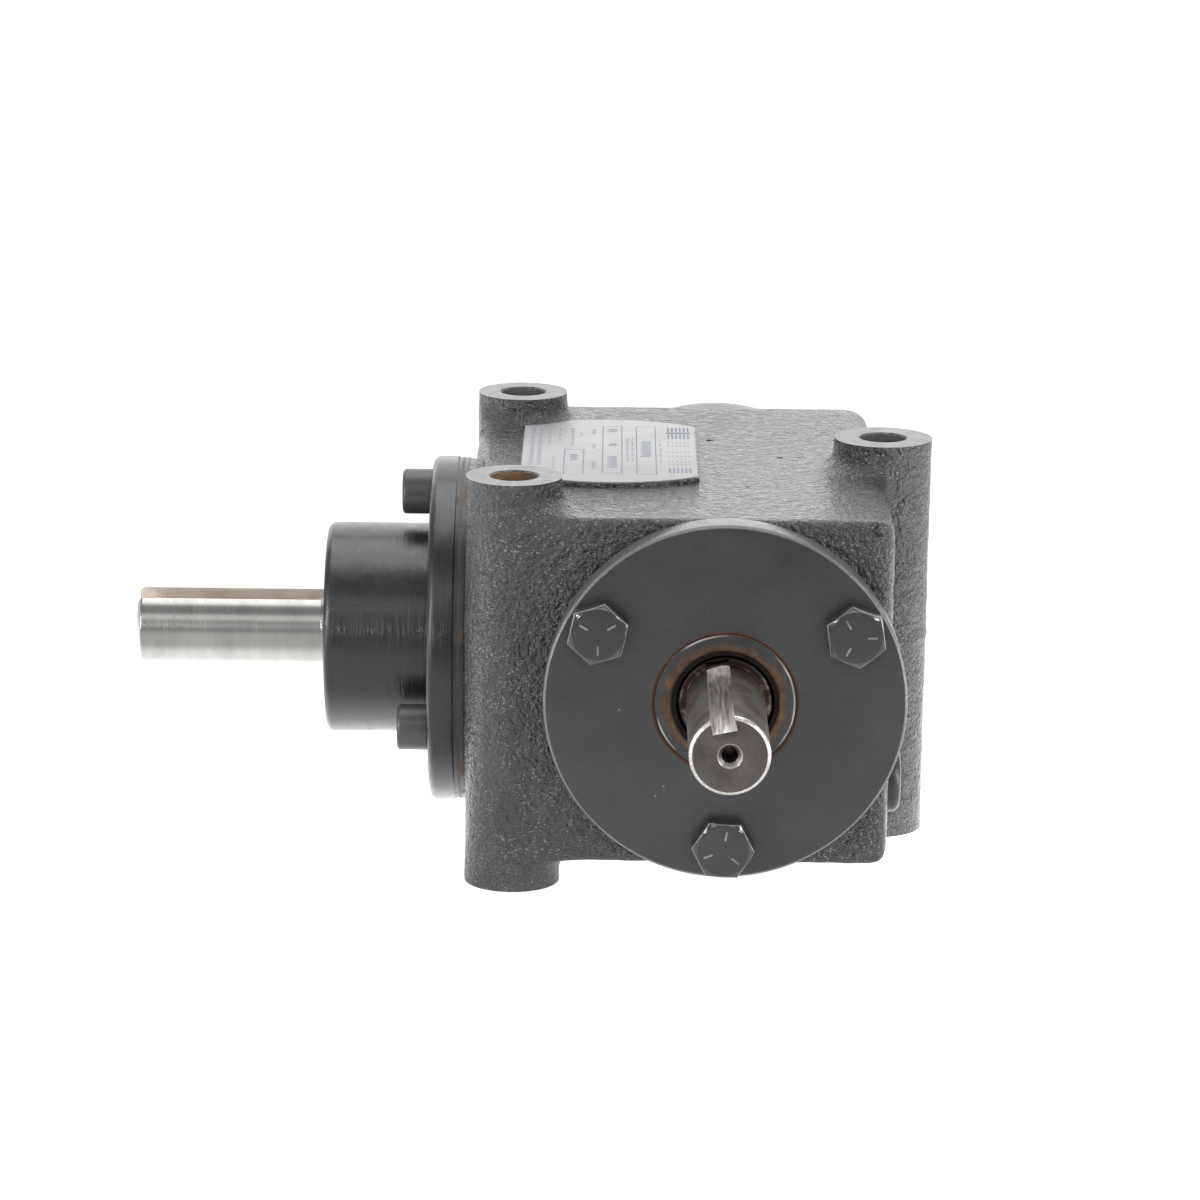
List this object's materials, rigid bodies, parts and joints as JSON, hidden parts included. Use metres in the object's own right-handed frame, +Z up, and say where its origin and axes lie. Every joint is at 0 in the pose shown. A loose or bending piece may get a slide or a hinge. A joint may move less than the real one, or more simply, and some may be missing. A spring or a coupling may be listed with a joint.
{
  "type": "right-angle bevel gearbox",
  "caption": "Right-angle bevel gearbox: cast housing with mounting bosses, keyed shaft ends out of adjacent faces, and bolted end caps.",
  "frame": {"origin": "the centre of the right boss's mounting hole, on the plane of the bosses' feet", "axes": "+Z up along the mounting holes; -Y along the output shaft, out of the front; -X along the input shaft, out of the left side"},
  "size_m": [0.1671, 0.1643, 0.0849],
  "materials": {
    "cast_paint": "dark grey semi-gloss enamel over a sand casting",
    "smooth_paint": "dark grey semi-gloss enamel over machined iron",
    "painted_fastener": "enamelled with the housing",
    "label": "satin printed foil",
    "dark_steel": "black oxide",
    "gasket": "oiled paper",
    "steel": "ground",
    "seal_steel": "pressed steel, lightly rusted",
    "seal_rubber": "nitrile",
    "gear_steel": "hardened and oiled",
    "bearing_steel": "polished",
    "cage_steel": "pressed steel"
  },
  "bodies": {
    "housing": {"housing": "cast_paint", "nameplate": "label", "fill_plug": "dark_steel", "drain_plug": "dark_steel", "front_gasket": "gasket", "front_cap": "smooth_paint", "front_cap_bolts": "painted_fastener", "rear_gasket": "gasket", "rear_cap": "smooth_paint", "rear_cap_bolts": "painted_fastener", "housing_gasket": "gasket", "shim": "steel", "carrier_gasket": "gasket", "input_carrier": "smooth_paint", "carrier_screws": "painted_fastener", "output_seal_case": "seal_steel", "output_seal_lip": "seal_rubber", "output_seal_spring": "steel", "input_seal_case": "seal_steel", "input_seal_lip": "seal_rubber", "input_seal_spring": "steel", "front_bearing_cup": "bearing_steel", "rear_bearing_cup": "bearing_steel", "inner_bearing_cup": "bearing_steel", "outer_bearing_cup": "bearing_steel"},
    "output_shaft": {"output_shaft": "steel", "output_gear": "gear_steel", "gear_key": "steel", "gear_spacer": "steel", "front_bearing_cone": "bearing_steel", "rear_bearing_cone": "bearing_steel"},
    "input_shaft": {"input_shaft": "steel", "pinion": "gear_steel", "pinion_key": "steel", "pinion_ring": "dark_steel", "inner_bearing_cone": "bearing_steel", "outer_bearing_cone": "bearing_steel", "lock_washer": "steel", "lock_nut": "dark_steel"},
    "front_cage": {"front_bearing_cage": "cage_steel", "front_bearing_rollers": "bearing_steel"},
    "rear_cage": {"rear_bearing_cage": "cage_steel", "rear_bearing_rollers": "bearing_steel"},
    "inner_cage": {"inner_bearing_cage": "cage_steel", "inner_bearing_rollers": "bearing_steel"},
    "outer_cage": {"outer_bearing_cage": "cage_steel", "outer_bearing_rollers": "bearing_steel"}
  },
  "joints": [
    {"name": "output_turn", "type": "hinge", "parent": "housing", "child": "output_shaft", "pos_m": [-0.0338, 0, 0.04245], "axis": [0, 1, 0], "continuous": true},
    {"name": "input_turn", "type": "hinge", "parent": "housing", "child": "input_shaft", "pos_m": [-0.0338, 0, 0.04245], "axis": [1, 0, 0], "continuous": true},
    {"name": "front_cage_turn", "type": "hinge", "parent": "housing", "child": "front_cage", "pos_m": [-0.0338, 0, 0.04245], "axis": [0, 1, 0], "continuous": true},
    {"name": "rear_cage_turn", "type": "hinge", "parent": "housing", "child": "rear_cage", "pos_m": [-0.0338, 0, 0.04245], "axis": [0, 1, 0], "continuous": true},
    {"name": "inner_cage_turn", "type": "hinge", "parent": "housing", "child": "inner_cage", "pos_m": [-0.0338, 0, 0.04245], "axis": [1, 0, 0], "continuous": true},
    {"name": "outer_cage_turn", "type": "hinge", "parent": "housing", "child": "outer_cage", "pos_m": [-0.0338, 0, 0.04245], "axis": [1, 0, 0], "continuous": true}
  ],
  "couplings": [
    {"joint": "input_turn", "follows": "output_turn", "ratio": 1},
    {"joint": "front_cage_turn", "follows": "output_turn", "ratio": 0.41018},
    {"joint": "rear_cage_turn", "follows": "output_turn", "ratio": 0.41018},
    {"joint": "inner_cage_turn", "follows": "output_turn", "ratio": 0.41018},
    {"joint": "outer_cage_turn", "follows": "output_turn", "ratio": 0.41018}
  ]
}
